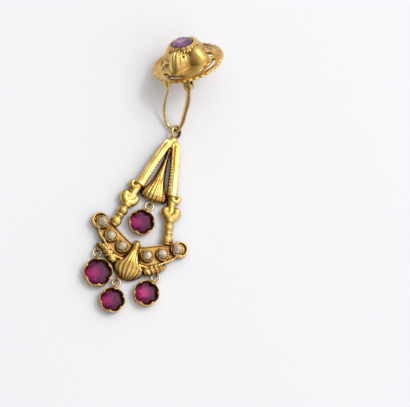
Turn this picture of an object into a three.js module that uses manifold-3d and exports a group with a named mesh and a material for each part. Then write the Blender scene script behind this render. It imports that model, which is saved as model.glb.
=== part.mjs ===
// A gold drop earring with garnets and seed pearls, lying on its flat back.
// Millimetres, +Z up off the surface, +Y along the drop towards the rosette.
// The origin is on the flat back of the drop's frame, behind the shield.
import * as THREE from "three";
import { mergeVertices } from "three/addons/utils/BufferGeometryUtils.js";
import { ConvexGeometry } from "three/addons/geometries/ConvexGeometry.js";
import Module from "manifold-3d";

const wasm = await Module();
wasm.setup();

// Driving dimensions of the drop's frame
const EYE_Y = 29.7; // origin to the eye ring's centre, which sets the drop's length
const EYE_R = 1.22; // eye ring's centreline
const EYE_WIRE = 0.3;
const EYE_Z = 1.15;
const EYE_TURN = 0.7; // the ring's turn about the drop's long axis, radians
const AXIS_Z = 1.2; // mid-height of the frame's round members
const ARM_SHARE = 0.379; // an arm's length as a share of the drop's
const ARM_SPREAD = 3.7; // from the axis to an arm's lower end
const ARM_TOP = 2.75; // below the eye's centre
const ARM_THICK = 1.15; // half height of an arm
const LEAF_TOP = 4.4; // below the eye's centre
const LEAF_WIDTH = 5.8;
const LEAF_HEIGHT = 2.5;
const LEAF_FLUTES = 7;
const SCROLL_R = 0.92; // tube of the open scrolls below the arms
const POST_BEAD = 1.24;
const WING_REACH = 8.9; // axis to the centre of a wing's round tip
const WING_RISE = 7.6; // from the wings' middle up to the tips' centre
const WING_DROP = 6.1; // the wings' middle below the shield's top
const TIP_R = 1.7;
const TRAY_HEIGHT = 1.4; // floor of the crescent's tray
const TRAY_LIP = 0.55;
const SHIELD_LENGTH = 9.2;
const SHIELD_WIDTH = 6.8;
const SHIELD_HEIGHT = 2.75;
const SHIELD_FLUTES = 7;
const SHIELD_BELOW = 5.0; // origin to the shield's lowest lobe

// Pearls and their collets
const PEARL_R = 1.0;
const COLLET_WALL = 0.26;
const PEARL_GAP = 0.1;
const COLLET_HEIGHT = 0.95;

// Jump rings, bezels and stones
const RING_R = 0.85;
const RING_WIRE = 0.19;
const BAIL_R = 0.5;
const BAIL_WIRE = 0.18;
const BAIL_OUT = 0.34; // bail's centre beyond the bezel's edge
const LUG_ROOT = 0.75; // a lug's root into the frame
const LINK_Z = 0.72; // height at which lug, ring and bail meet
const BEZEL_HEIGHT = 1.9;
const BEZEL_WALL = 0.26;
const BEZEL_LEDGE = 0.2; // the seat's reach under the stone's edge
const SCALLOPS = 6;
const STONE_GAP = 0.1;
const CENTRE_R = 2.85; // centre bezel
const KNOB_GAP = 1.15; // centre bezel to the shield's knob
const LINK_GAP = 0.15; // left bezel to the bottom stone's ring
const LUG_DROP = 0.3; // a lug's centre below the edge that it hangs from
const GIRDLE_Z = 1.25;
const CROWN_HEIGHT = 0.85;
const PAVILION_HEIGHT = 1.1;
const TABLE_SHARE = 0.56;

// Rosette
const RIM_R = 7.7;
const RIM_IN = 5.9;
const RIM_THICK = 0.65;
const DOME_R = 5.5;
const DOME_HEIGHT = 4.5;
const FOOT_DIP = 1.7; // how far the dome's foot draws in between petals
const CROWN_R = 2.15; // the dome's open top, under the stone
const SHELL_WALL = 0.55;
const RIM_BEADS = 20;
const SHELL_FLUTES = 20;
const ROSETTE_BEZEL_R = 2.75;
const ROSETTE_BEZEL_HEIGHT = 1.0;
const OVAL = 0.84; // the rosette stone's width to its length
const PETAL_TURN = -0.19; // petals' turn against the legs, radians
const LEAN = THREE.MathUtils.degToRad(48.95); // disc's tilt off the surface
const HEADING = THREE.MathUtils.degToRad(48.2); // way it faces, left of +Y
const RIM_SIT = 0.1; // how far the rim's rounded edge lets it down
const SPIN = THREE.MathUtils.degToRad(-52.2);

// Ear wire, its hinge and its catch
const LEG_GAP = 5.0;
const LOOP_LENGTH = 9.9;
const LOOP_SKEW = 2.1; // the bend's place, left of the legs' middle
const LEG_Y = -6.35; // legs' plane below the rosette's centre
const HINGE_DROP = 1.55; // hinge axis behind the rim
const LEG_TIP_WIRE = 0.3;
const LEG_ROOT_WIRE = 0.5;
const LEG_SLOPE = 0.252; // the loop's lean away from the disc's axis, radians
const KNUCKLE_R = 0.85;
const KNUCKLE_HALF = 0.36;
const PIN_R = 0.36;
const PIN_GAP = 0.13;
const FORK_WALL = 0.36;
const FORK_GAP = 0.12;
const CATCH_GAP = 0.24;
const CATCH_WALL = 0.26;
const RIM_BITE = 0.3; // how far catch and fork reach into the rim

const GOLD = { color: 0xd8b04a, roughness: 0.36, metalness: 1 };
const GARNET = { color: 0x8a1f5c, roughness: 0.08, metalness: 0 };
const PALE_GARNET = { color: 0xa3659a, roughness: 0.08, metalness: 0 };
const PEARL = { color: 0xeadfce, roughness: 0.3, metalness: 0 };

const LINK_SIDES = 12;
const WIRE_SIDES = 6;
const V = (x, y, z) => new THREE.Vector3(x, y, z);

// Closed geometry from vertices and triangles, turned so that its faces point out.
function closedGeometry(vertices, triangles) {
  let volume = 0;
  for (const [a, b, c] of triangles)
    volume += vertices[a].dot(vertices[b].clone().cross(vertices[c]));
  const order = volume < 0 ? ([a, b, c]) => [a, c, b] : (t) => t;
  return new THREE.BufferGeometry()
    .setAttribute("position", new THREE.Float32BufferAttribute(vertices.flatMap((v) => v.toArray()), 3))
    .setIndex(triangles.flatMap(order));
}

// Skin over rings of equal count. Open ends are capped from the ring's middle.
function skin(rings, endless = false) {
  const count = rings[0].length;
  const vertices = rings.flat();
  const triangles = [];
  const last = endless ? rings.length : rings.length - 1;
  for (let i = 0; i < last; i++) {
    const next = (i + 1) % rings.length;
    for (let j = 0; j < count; j++) {
      const k = (j + 1) % count;
      const [a, b] = [i * count + j, i * count + k];
      const [c, d] = [next * count + j, next * count + k];
      triangles.push([a, b, d], [a, d, c]);
    }
  }
  const cap = (ring, start, flip) => {
    const middle = ring.reduce((sum, v) => sum.add(v), V(0, 0, 0)).divideScalar(count);
    vertices.push(middle);
    for (let j = 0; j < count; j++) {
      const pair = [start + j, start + ((j + 1) % count)];
      if (flip) pair.reverse();
      triangles.push([vertices.length - 1, pair[1], pair[0]]);
    }
  };
  if (!endless) {
    cap(rings[0], 0, false);
    cap(rings[rings.length - 1], (rings.length - 1) * count, true);
  }
  return closedGeometry(vertices, triangles);
}

// Value of a table of [share, value] rows at a share of the length.
function along(table, share) {
  for (let i = 1; i < table.length; i++) {
    const [s0, v0] = table[i - 1];
    const [s1, v1] = table[i];
    if (share <= s1) return v0 + ((v1 - v0) * (share - s0)) / (s1 - s0);
  }
  return table[table.length - 1][1];
}

// Bar along smooth points, with its half width and half height by share of length.
function bar(points, wide, high, { steps = 12, sides = 8, up = V(0, 0, 1) } = {}) {
  const path = new THREE.CatmullRomCurve3(points, false, "centripetal");
  const rings = [];
  for (let i = 0; i <= steps; i++) {
    const share = i / steps;
    const centre = path.getPoint(share);
    const ahead = path.getTangent(share);
    const side = ahead.clone().cross(up).normalize();
    const over = side.clone().cross(ahead).normalize();
    const ring = [];
    for (let j = 0; j < sides; j++) {
      const angle = (2 * Math.PI * (j + 0.5)) / sides;
      ring.push(
        centre
          .clone()
          .addScaledVector(side, along(wide, share) * Math.cos(angle))
          .addScaledVector(over, along(high, share) * Math.sin(angle)),
      );
    }
    rings.push(ring);
  }
  return skin(rings);
}

// A ring-shaped solid round Z whose closed profile [[radius, height], ...] changes with the angle.
function polar(profileAt, segments) {
  const rings = [];
  for (let i = 0; i < segments; i++) {
    const angle = (2 * Math.PI * i) / segments;
    rings.push(profileAt(angle).map(([r, h]) => V(r * Math.cos(angle), r * Math.sin(angle), h)));
  }
  return skin(rings, true);
}

// A domed, fluted plume on a flat back: rows run down from the top at y = 0.
function plume({ length, width, height, flutes, rows, depth }) {
  const columns = flutes * 3;
  const rings = rows.map(([down, half, rise, dip]) => {
    const ring = [];
    for (let j = 0; j <= columns; j++) {
      const across = (2 * j) / columns - 1;
      const crest = Math.abs(Math.cos((Math.PI * flutes * (across + 1)) / 2 + Math.PI / 2));
      const dome = Math.sqrt(Math.max(1 - 0.8 * across * across, 0));
      ring.push(
        V(
          (across * half * width) / 2,
          -down * length - dip * length * (1 - across * across) - 0.35 * dip * length * crest,
          rise * height * dome - depth * (1 - crest) * Math.min(1, half * 2),
        ),
      );
    }
    ring.push(V((half * width) / 2, -down * length, 0));
    ring.push(V((-half * width) / 2, -down * length, 0));
    return ring;
  });
  return skin(rings);
}

function toSolid(geometry) {
  const plain = geometry.clone();
  plain.deleteAttribute("normal");
  plain.deleteAttribute("uv");
  const merged = mergeVertices(plain, 1e-4);
  return new wasm.Manifold(
    new wasm.Mesh({
      numProp: 3,
      vertProperties: merged.attributes.position.array,
      triVerts: new Uint32Array(merged.index.array),
    }),
  );
}

function toGeometry(solid) {
  const mesh = solid.getMesh();
  return new THREE.BufferGeometry()
    .setAttribute("position", new THREE.BufferAttribute(mesh.vertProperties, 3))
    .setIndex(new THREE.BufferAttribute(mesh.triVerts, 1));
}

function joined(geometries) {
  return geometries.map(toSolid).reduce((sum, next) => sum.add(next));
}

// The geometry turned about X, then Y, then Z, and then moved.
function placed(geometry, [x, y, z], [rx, ry, rz] = [0, 0, 0]) {
  const turn = new THREE.Matrix4().makeRotationFromEuler(new THREE.Euler(rx, ry, rz, "ZYX"));
  return geometry.clone().applyMatrix4(turn).translate(x, y, z);
}

function mesh(name, geometry, finish) {
  const shape = geometry.index ? geometry.toNonIndexed() : geometry.clone();
  shape.deleteAttribute("normal");
  shape.deleteAttribute("uv");
  shape.computeVertexNormals();
  const made = new THREE.Mesh(shape, new THREE.MeshStandardMaterial(finish));
  made.name = name;
  return made;
}

function torus(radius, wire, sides = LINK_SIDES) {
  return new THREE.TorusGeometry(radius, wire, WIRE_SIDES, sides);
}

// A small ring standing on edge. Its hole looks across the heading, which is 0 along Y.
function standingRing(x, y, heading) {
  return placed(torus(BAIL_R, BAIL_WIRE), [x, y, LINK_Z], [Math.PI / 2, 0, heading + Math.PI / 2]);
}

// Places shared by the frame and what it carries
const SHIELD_TOP_Y = SHIELD_LENGTH - SHIELD_BELOW;
const CENTRE_HANG = LUG_DROP + 2 * RING_R + BAIL_OUT + 2 * CENTRE_R;
const LEAF_LENGTH = EYE_Y - LEAF_TOP - CENTRE_HANG - KNOB_GAP - SHIELD_TOP_Y;
const eyeY = (down) => EYE_Y - down;
const WING_MIDDLE_Y = SHIELD_TOP_Y - WING_DROP;
const ARM_END = ARM_TOP + ARM_SHARE * EYE_Y;
const SCROLL_FOOT = 4.5; // the post's top below the arm's end
const onWing = (reach, rise) => ({ x: reach * WING_REACH, y: WING_MIDDLE_Y + rise * WING_RISE });
const POST_TOP = { x: ARM_SPREAD + 1.05, y: eyeY(ARM_END + SCROLL_FOOT) };
const POST_FOOT = onWing(0.68, 0.96);
const POST_LENGTH = Math.hypot(POST_FOOT.x - POST_TOP.x, POST_TOP.y - POST_FOOT.y);
const POST_LEAN = Math.atan2(POST_FOOT.x - POST_TOP.x, POST_TOP.y - POST_FOOT.y);

// The four hanging stones: lug's centre, swing from straight down in degrees, bezel's radius.
const leftLug = onWing(0.843, 0.191);
const rightLug = onWing(0.702, 0.095);
const LEFT_R = 3.1;
const LEFT_SWING = 20;
const leftHang = 2 * RING_R + BAIL_OUT + LEFT_R;
const leftEdge = -leftLug.x + leftHang * Math.sin(THREE.MathUtils.degToRad(LEFT_SWING)) + LEFT_R;
const bottomX = leftEdge + LINK_GAP + RING_R + RING_WIRE;
const DROPS = [
  { name: "centre", x: 0, y: eyeY(LEAF_TOP + LEAF_LENGTH + LUG_DROP), swing: -7, radius: CENTRE_R },
  { name: "left", x: -leftLug.x, y: leftLug.y, swing: LEFT_SWING, radius: LEFT_R },
  { name: "bottom", x: bottomX, y: -SHIELD_BELOW - 0.05, swing: 5, radius: 2.75 },
  { name: "right", x: rightLug.x, y: rightLug.y, swing: -12, radius: 2.8 },
];

// Pearls from the inner one out, as a wing's share of reach and rise.
const PEARL_PLACES = [
  { reach: 0.315, rise: 0.46 },
  { reach: 0.65, rise: 0.645 },
  { reach: 0.935, rise: 0.925 },
];

function pearlPlace(side, { reach, rise }) {
  const { x, y } = onWing(reach, rise);
  return [side * x, y];
}

// One wing of the crescent: a lipped tray that ends in a round tip.
const WING_ROWS = [
  // share of reach, lower edge's rise, upper edge's rise, both as shares of the wing's rise
  [0.0, 0.1, 0.62],
  [0.22, 0.1, 0.72],
  [0.42, 0.12, 0.84],
  [0.6, 0.26, 0.95],
  [0.78, 0.44, 1.06],
  [0.93, 0.6, 1.16],
  [1.0, 0.78, 1.2],
];

function wing(side) {
  const rings = WING_ROWS.map(([reach, low, high]) => {
    const x = side * reach * WING_REACH;
    const yLow = WING_MIDDLE_Y + low * WING_RISE;
    const yHigh = WING_MIDDLE_Y + high * WING_RISE;
    const top = TRAY_HEIGHT + TRAY_LIP;
    return [
      V(x, yLow, 0),
      V(x, yLow, top),
      V(x, yLow + TRAY_LIP, top),
      V(x, yLow + TRAY_LIP, TRAY_HEIGHT),
      V(x, yHigh, TRAY_HEIGHT),
      V(x, yHigh, 0),
    ];
  });
  const tip = [
    [0, 0],
    [TIP_R, 0],
    [TIP_R + 0.1, 0.5 * TRAY_HEIGHT],
    [TIP_R, TRAY_HEIGHT + TRAY_LIP],
    [TIP_R - 0.3, TRAY_HEIGHT + TRAY_LIP],
    [TIP_R - 0.3, TRAY_HEIGHT],
    [0, TRAY_HEIGHT],
  ].map(([r, h]) => new THREE.Vector2(r, h));
  return [
    skin(rings),
    placed(
      new THREE.LatheGeometry(tip, 12),
      [side * WING_REACH, WING_MIDDLE_Y + 0.97 * WING_RISE, 0],
      [Math.PI / 2, 0, 0],
    ),
  ];
}

// Upright cylinder over the tray, for a pearl's collet and for the seat cut into it.
function overTray([x, y], radius, below, above) {
  const height = below + above;
  const middle = TRAY_HEIGHT + (above - below) / 2;
  return placed(new THREE.CylinderGeometry(radius, radius, height, 12), [x, y, middle], [Math.PI / 2, 0, 0]);
}

// Arm, curled end, open scroll, beaded post and gadrooned scroll of one side.
function sideWork(side) {
  const at = (x, down, z = AXIS_Z) => V(side * x, eyeY(down), z);
  const arm = bar(
    [at(0.55, ARM_TOP - 0.4), at(1.0, ARM_TOP + 0.7), at(2.1, ARM_TOP + 4.6), at(ARM_SPREAD, ARM_END)],
    [[0, 0.45], [0.2, 0.74], [0.7, 0.98], [1, 1.12]],
    [[0, 0.95], [0.5, ARM_THICK], [1, ARM_THICK + 0.15]],
    { steps: 9, sides: 8 },
  );
  const curl = bar(
    [
      at(ARM_SPREAD - 0.1, ARM_END - 1.0),
      at(ARM_SPREAD + 0.35, ARM_END + 0.55),
      at(ARM_SPREAD + 1.2, ARM_END + 0.75),
      at(ARM_SPREAD + 1.6, ARM_END - 0.15),
      at(ARM_SPREAD + 1.0, ARM_END - 0.45),
    ],
    [[0, 0.85], [0.6, 0.62], [1, 0.4]],
    [[0, 1.1], [1, 0.8]],
    { steps: 7, sides: 6 },
  );
  const stem = bar(
    [
      at(ARM_SPREAD + 0.1, ARM_END - 0.4, 1.05),
      at(ARM_SPREAD + 0.55, ARM_END + 2.0, 1.0),
      at(POST_TOP.x, ARM_END + SCROLL_FOOT, 1.0),
    ],
    [[0, 1.0], [0.5, 0.95], [1, 0.95]],
    [[0, 1.05], [1, 1.0]],
    { steps: 4, sides: 8 },
  );
  const scroll = bar(
    [
      at(ARM_SPREAD + 2.0, ARM_END + 2.7),
      at(ARM_SPREAD + 2.0, ARM_END + 3.5),
      at(ARM_SPREAD + 1.05, ARM_END + 4.4),
      at(ARM_SPREAD - 0.2, ARM_END + 3.7),
      at(ARM_SPREAD - 0.35, ARM_END + 3.0),
      at(ARM_SPREAD + 0.1, ARM_END + 2.7),
    ],
    [[0, SCROLL_R], [0.15, SCROLL_R * 1.25], [0.5, SCROLL_R], [0.8, SCROLL_R * 0.85], [1, 0.5]],
    [[0, SCROLL_R], [0.15, SCROLL_R * 1.25], [0.5, SCROLL_R], [1, 0.6]],
    { steps: 9, sides: 8 },
  );
  // Turned post: share of length and radius in bead radii
  const turning = [
    [0, 0.72], [0.08, 0.86], [0.14, 0.86], [0.18, 0.62], [0.25, 0.84], [0.34, 0.94], [0.43, 0.84],
    [0.5, 0.6], [0.53, 0.82], [0.59, 0.82], [0.62, 0.62], [0.7, 0.92], [0.79, 1.02], [0.88, 0.92],
    [0.96, 0.66], [1, 0.9],
  ];
  const profile = [
    new THREE.Vector2(0, 0),
    ...turning.map(([s, r]) => new THREE.Vector2(r * POST_BEAD, s * POST_LENGTH)),
    new THREE.Vector2(0, POST_LENGTH),
  ];
  const lean = Math.PI + side * POST_LEAN;
  const post = placed(
    new THREE.LatheGeometry(profile, 10),
    [side * POST_TOP.x, POST_TOP.y, AXIS_Z],
    [0, 0, lean],
  );
  const gadroon = bar(
    [[0.835, 0.355, 1.0], [0.703, 0.276, 1.1], [0.55, 0.151, 1.1], [0.374, 0, 1.0]].map(([reach, rise, z]) => {
      const { x, y } = onWing(reach, rise);
      return V(side * x, y, z);
    }),
    [[0, 0.42], [0.12, 0.64], [0.24, 0.54], [0.36, 0.7], [0.48, 0.6], [0.6, 0.82], [0.72, 0.7], [0.84, 0.95], [1, 0.7]],
    [[0, 0.8], [0.12, 1.05], [0.24, 0.9], [0.36, 1.1], [0.48, 0.95], [0.6, 1.15], [0.72, 1.0], [0.84, 1.2], [1, 0.9]],
    { steps: 17, sides: 6 },
  );
  return [arm, curl, stem, scroll, post, gadroon];
}

const LEAF_ROWS = [
  // share of length, of width, of height, dip of the middle
  [0.0, 0.1, 0.45, 0],
  [0.12, 0.14, 0.6, 0],
  [0.3, 0.24, 0.75, 0],
  [0.45, 0.34, 0.85, 0],
  [0.58, 0.46, 0.92, 0],
  [0.7, 0.63, 0.98, 0],
  [0.8, 0.84, 1.0, 0.005],
  [0.87, 1.0, 0.96, 0.02],
  [0.92, 1.0, 0.78, 0.04],
  [0.94, 0.94, 0.5, 0.05],
];

const SHIELD_ROWS = [
  [0.0, 0.16, 0.5, 0],
  [0.04, 0.26, 0.8, 0],
  [0.11, 0.3, 1.0, 0],
  [0.19, 0.28, 0.95, 0],
  [0.28, 0.34, 0.9, 0],
  [0.42, 0.5, 0.95, 0],
  [0.55, 0.72, 0.98, 0],
  [0.64, 0.97, 0.92, 0],
  [0.72, 1.0, 0.8, 0.02],
  [0.81, 0.86, 0.66, 0.03],
  [0.88, 0.62, 0.5, 0.04],
  [0.92, 0.42, 0.32, 0.05],
];

function dropFrame() {
  const eye = placed(torus(EYE_R, EYE_WIRE, 16), [0, EYE_Y, EYE_Z], [0, EYE_TURN, 0]);
  const neck = bar(
    [V(0, eyeY(EYE_R + 0.05), EYE_Z), V(0, eyeY(2.1), EYE_Z), V(0, eyeY(4.0), EYE_Z)],
    [[0, 0.5], [0.3, 1.0], [0.7, 1.2], [1, 0.8]],
    [[0, 0.4], [0.3, 0.8], [1, 0.9]],
    { steps: 6, sides: 10 },
  );
  const leaf = plume({
    length: LEAF_LENGTH,
    width: LEAF_WIDTH,
    height: LEAF_HEIGHT,
    flutes: LEAF_FLUTES,
    rows: LEAF_ROWS,
    depth: 0.3,
  }).translate(0, eyeY(LEAF_TOP), 0);
  const leafRoot = bar(
    [V(0, eyeY(3.4), 0.9), V(0, eyeY(4.6), 0.9), V(0, eyeY(5.6), 0.8)],
    [[0, 0.7], [1, 0.35]],
    [[0, 0.7], [1, 0.6]],
    { steps: 3, sides: 8 },
  );
  const shield = plume({
    length: SHIELD_LENGTH,
    width: SHIELD_WIDTH,
    height: SHIELD_HEIGHT,
    flutes: SHIELD_FLUTES,
    rows: SHIELD_ROWS,
    depth: 0.24,
  }).translate(0, SHIELD_TOP_Y, 0);
  const parts = [eye, neck, leaf, leafRoot, shield];
  const seats = [];
  for (const side of [-1, 1]) {
    parts.push(...sideWork(side), ...wing(side));
    for (const place of PEARL_PLACES) {
      const at = pearlPlace(side, place);
      parts.push(overTray(at, PEARL_R + PEARL_GAP + COLLET_WALL, 0.4, COLLET_HEIGHT));
      seats.push(overTray(at, PEARL_R + PEARL_GAP, 0, 3));
    }
  }
  for (const { x, y, swing } of DROPS) {
    const turn = THREE.MathUtils.degToRad(swing);
    const root = (out) => V(x - out * Math.sin(turn), y + out * Math.cos(turn), LINK_Z);
    const foot = bar([root(BAIL_R - 0.05), root(BAIL_R + LUG_ROOT)], [[0, 0.24], [1, 0.34]], [[0, 0.3], [1, 0.5]], {
      steps: 1,
      sides: 6,
    });
    parts.push(standingRing(x, y, turn), foot);
  }
  const underside = new THREE.BoxGeometry(60, 90, 10).translate(0, 0, -5);
  return toGeometry(joined(parts).subtract(joined([underside, ...seats])));
}

// A cut stone: flat table, eight star and eight main facets, girdle and pointed back.
function cutStone(radius, crown, pavilion) {
  const points = [];
  const ring = (r, h, count, turn) => {
    for (let i = 0; i < count; i++) {
      const angle = (2 * Math.PI * (i + turn)) / count;
      points.push(V(r * Math.cos(angle), r * Math.sin(angle), h));
    }
  };
  ring(radius * TABLE_SHARE, crown, 8, 0);
  ring(radius * 0.8, crown * 0.56, 8, 0.5);
  ring(radius, 0.06, 16, 0);
  ring(radius, -0.06, 16, 0);
  ring(radius * 0.55, -pavilion * 0.56, 8, 0.5);
  ring(radius * 0.08, -pavilion, 8, 0);
  return new ConvexGeometry(points);
}

// Scalloped open-backed cup with its bail on +Y.
function bezelCup(radius) {
  const cup = polar((angle) => {
    const lobe = Math.cos(SCALLOPS * angle);
    const out = radius - 0.08 + 0.05 * lobe;
    const top = BEZEL_HEIGHT + 0.08 - 0.1 * lobe;
    const seat = radius - BEZEL_WALL - BEZEL_LEDGE;
    return [
      [seat - 0.1, 0.25],
      [out - 0.25, 0.0],
      [out, 0.9],
      [out - 0.02, top],
      [out - BEZEL_WALL + 0.09 * lobe, top],
      [seat, GIRDLE_Z + 0.1],
      [seat, GIRDLE_Z - 0.25],
    ];
  }, SCALLOPS * 4);
  const bail = standingRing(0, radius + BAIL_OUT, 0);
  const saddle = bar(
    [V(0, radius - 0.3, LINK_Z), V(0, radius + 0.06, LINK_Z)],
    [[0, 0.32], [1, 0.28]],
    [[0, 0.4], [1, 0.3]],
    { steps: 1, sides: 6 },
  );
  return toGeometry(joined([cup, bail, saddle]));
}

function hangingStone({ name, x, y, swing, radius }) {
  const group = new THREE.Group();
  group.position.set(x, y, 0);
  group.rotation.z = THREE.MathUtils.degToRad(swing);
  const ring = mesh(name + "_ring", torus(RING_R, RING_WIRE), GOLD);
  ring.position.set(0, -RING_R, LINK_Z);
  const bezel = mesh(name + "_bezel", bezelCup(radius), GOLD);
  const below = 2 * RING_R + BAIL_OUT + radius;
  bezel.position.set(0, -below, 0);
  const girdle = radius - BEZEL_WALL - BEZEL_LEDGE - STONE_GAP;
  const stone = mesh(name + "_garnet", cutStone(girdle, CROWN_HEIGHT, PAVILION_HEIGHT), GARNET);
  stone.position.set(0, -below, GIRDLE_Z);
  group.add(ring, bezel, stone);
  return group;
}

// The dome's foot, drawn in between its four petals.
const footR = (angle) => DOME_R - (FOOT_DIP * (1 - Math.cos(4 * angle))) / 2;

// Height of the rosette's shell over its rim, by share of the way out to its foot and angle.
function shellHeight(out, angle) {
  const petal = Math.cos(4 * angle);
  const round = Math.sqrt(Math.max(1 - 0.92 * out * out, 0));
  const swell = 0.45 * petal * Math.sin(Math.PI * Math.min(out + 0.15, 1));
  const flute = 0.13 * Math.cos(SHELL_FLUTES * angle) * Math.sin(Math.PI * out) * Math.max(petal, 0);
  return DOME_HEIGHT * round + swell + flute;
}

function rosetteShell() {
  const shell = polar((angle) => {
    const bead = 0.16 * Math.cos(RIM_BEADS * angle);
    const foot = footR(angle);
    const shares = [1, 0.85, 0.6, 0.3, 0];
    const outside = shares.map((s) => {
      const r = CROWN_R + s * (foot - CROWN_R);
      return [r, shellHeight(s, angle)];
    });
    const inside = [0.15, 0.65].map((s) => {
      const r = CROWN_R - 0.1 + s * (foot - SHELL_WALL - CROWN_R);
      const out = Math.max(r - CROWN_R, 0) / (foot - CROWN_R);
      return [r, shellHeight(out, angle) - SHELL_WALL * 1.25];
    });
    return [
      [RIM_R + bead - 0.1, 0.1],
      [RIM_R + bead, 0.35 * RIM_THICK],
      [RIM_R - 0.25 + bead, RIM_THICK],
      [RIM_R - 0.75, RIM_THICK * 0.8],
      [RIM_IN, RIM_THICK * 0.75],
      ...outside,
      ...inside,
      [foot - SHELL_WALL, 0],
    ];
  }, 60);
  return placed(shell, [0, 0, 0], [0, 0, PETAL_TURN]);
}

// Cutters through the rosette: a lens at each petal's foot and an arch between petals on two sides.
function rosetteCutters() {
  const cutters = [];
  const lens = new THREE.Shape();
  const reach = 0.5; // half the lens's spread, radians
  const lensR = RIM_IN - 0.02;
  const edge = (a, r) => [r * Math.cos(a), r * Math.sin(a)];
  lens.moveTo(...edge(-reach, lensR));
  lens.quadraticCurveTo(lensR + 1.15, 0, ...edge(reach, lensR));
  lens.quadraticCurveTo(lensR - 0.05, 0, ...edge(-reach, lensR));
  const slot = new THREE.ExtrudeGeometry(lens, { depth: 3, bevelEnabled: false, curveSegments: 8 });
  const arch = new THREE.CylinderGeometry(0.82, 0.82, 6, 10).rotateX(Math.PI / 2).scale(1, 1.35, 1);
  for (let i = 0; i < 4; i++) {
    const turn = PETAL_TURN + (i * Math.PI) / 2;
    cutters.push(placed(slot, [0, 0, -1], [0, 0, turn]));
    if (i % 2 === 0) cutters.push(arch.clone().translate(4.75, 0, 2).rotateZ(turn + Math.PI / 4));
  }
  return cutters;
}

// The loop's plane: x across the legs, "up" along them towards the rosette.
const LEG_UP = V(0, Math.sin(LEG_SLOPE), Math.cos(LEG_SLOPE));
const LEG_CENTRE = V(0, LEG_Y, -HINGE_DROP);
const LEG_TURN = [-LEG_SLOPE, 0, 0];
const loopPoint = (across, up) => LEG_CENTRE.clone().add(V(across, 0, 0)).addScaledVector(LEG_UP, up);
const catchBore = LEG_TIP_WIRE + CATCH_GAP;
const CATCH_UP = 0.15; // the catch's lower mouth, above the hinge axis
const catchLength = (HINGE_DROP + RIM_BITE) / Math.cos(LEG_SLOPE) - CATCH_UP;

function rosette() {
  let body = joined([rosetteShell()]);
  for (const cutter of rosetteCutters()) body = body.subtract(toSolid(cutter));
  const seatTop = DOME_HEIGHT + ROSETTE_BEZEL_HEIGHT;
  const seat = polar((angle) => {
    const lobe = 0.06 * Math.cos(8 * angle);
    return [
      [ROSETTE_BEZEL_R - 0.75, DOME_HEIGHT - 0.7],
      [ROSETTE_BEZEL_R + 0.1, DOME_HEIGHT - 0.5],
      [ROSETTE_BEZEL_R + lobe, seatTop],
      [ROSETTE_BEZEL_R - BEZEL_WALL, seatTop],
      [ROSETTE_BEZEL_R - BEZEL_WALL - 0.1, DOME_HEIGHT + 0.2],
    ];
  }, 24).scale(1, OVAL, 1);
  const catchTube = polar(
    () => [
      [catchBore, 0],
      [catchBore + CATCH_WALL, 0],
      [catchBore + CATCH_WALL, catchLength],
      [catchBore, catchLength],
    ],
    12,
  );
  const catchAt = loopPoint(-LEG_GAP / 2, CATCH_UP);
  const hinge = loopPoint(LEG_GAP / 2, 0).toArray();
  const plateAt = KNUCKLE_HALF + FORK_GAP + FORK_WALL / 2;
  const parts = [seat, placed(catchTube, catchAt.toArray(), LEG_TURN)];
  for (const side of [-1, 1]) {
    const disc = new THREE.CylinderGeometry(KNUCKLE_R, KNUCKLE_R, FORK_WALL, 12).translate(0, side * plateAt, 0);
    const stalk = new THREE.BoxGeometry(2 * KNUCKLE_R - 0.1, FORK_WALL, HINGE_DROP + RIM_BITE);
    stalk.translate(0, side * plateAt, (HINGE_DROP + RIM_BITE) / 2);
    parts.push(placed(disc, hinge, LEG_TURN), placed(stalk, hinge, LEG_TURN));
  }
  const pin = new THREE.CylinderGeometry(PIN_R, PIN_R, 2 * plateAt + 0.9 * FORK_WALL, 10);
  parts.push(placed(pin, hinge, LEG_TURN));
  return toGeometry(body.add(joined(parts)));
}

// One tapered wire: thin where it enters the catch, stout at the hinge.
function earWire() {
  const half = LEG_GAP / 2;
  const bend = -LOOP_SKEW;
  const wire = bar(
    [
      loopPoint(-half, CATCH_UP + 0.85),
      loopPoint(-half, -0.5),
      loopPoint(-half - 1.1, -0.3 * LOOP_LENGTH),
      loopPoint(-half - 1.85, -0.6 * LOOP_LENGTH),
      loopPoint(bend - 1.95, -0.86 * LOOP_LENGTH),
      loopPoint(bend, -LOOP_LENGTH),
      loopPoint(bend + 1.4, -0.87 * LOOP_LENGTH),
      loopPoint(half - 1.9, -0.6 * LOOP_LENGTH),
      loopPoint(half - 0.65, -0.3 * LOOP_LENGTH),
      loopPoint(half, -0.35),
    ],
    [[0, LEG_TIP_WIRE], [0.5, 0.36], [0.7, LEG_ROOT_WIRE], [0.9, 0.62], [1, 0.5]],
    [[0, LEG_TIP_WIRE], [0.5, 0.34], [0.8, 0.36], [1, 0.33]],
    { steps: 34, sides: 8, up: V(0, -Math.cos(LEG_SLOPE), Math.sin(LEG_SLOPE)) },
  );
  const hinge = loopPoint(half, 0).toArray();
  const knuckle = new THREE.CylinderGeometry(KNUCKLE_R - 0.05, KNUCKLE_R - 0.05, 2 * KNUCKLE_HALF, 12);
  const bore = new THREE.CylinderGeometry(PIN_R + PIN_GAP, PIN_R + PIN_GAP, 3, 10);
  const eye = toSolid(placed(knuckle, hinge, LEG_TURN));
  return toGeometry(toSolid(wire).add(eye).subtract(toSolid(placed(bore, hinge, LEG_TURN))));
}

// Assembly
const earring = new THREE.Group();
earring.add(mesh("drop_frame", dropFrame(), GOLD));
for (const drop of DROPS) earring.add(hangingStone(drop));

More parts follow.
